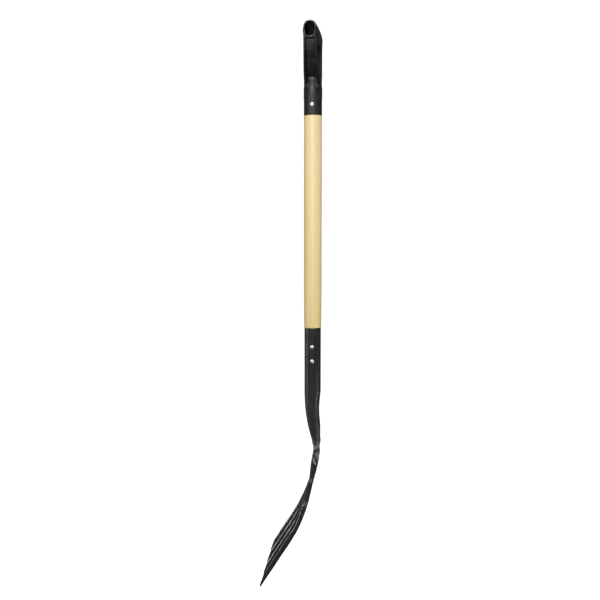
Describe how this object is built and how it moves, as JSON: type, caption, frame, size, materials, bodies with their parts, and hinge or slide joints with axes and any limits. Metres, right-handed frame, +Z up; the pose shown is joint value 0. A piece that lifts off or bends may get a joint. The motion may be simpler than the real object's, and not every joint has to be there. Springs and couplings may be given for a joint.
{
  "type": "digging fork",
  "caption": "Long-handled garden digging fork: hollow D-grip, straight wooden shaft, riveted steel socket and a forged head with flat curved tines.",
  "frame": {"origin": "on the shaft's axis, half way along the bare wood, where a rack clip holds it", "axes": "+Z runs up the shaft to the grip, X is the width of the head, and the tines curve forward to -Y"},
  "size_m": [0.201, 0.113, 1.0929],
  "materials": {
    "grip_plastic": "moulded, finely textured on its socket, satin on the arms",
    "ash_wood": "straight-grained pale ash, clear satin lacquer",
    "black_paint": "satin black paint on steel",
    "rivet_steel": "bright zinc-plated domed heads",
    "weld_steel": "lumpy arc weld under thin glossy paint"
  },
  "bodies": {
    "root": {"d_grip": "grip_plastic", "shaft": "ash_wood", "socket": "black_paint", "fork_head": "black_paint", "weld_bead": "weld_steel", "grip_rivet": "rivet_steel", "grip_rivet_washer": "rivet_steel", "upper_socket_rivet": "rivet_steel", "lower_socket_rivet": "rivet_steel"}
  },
  "joints": []
}
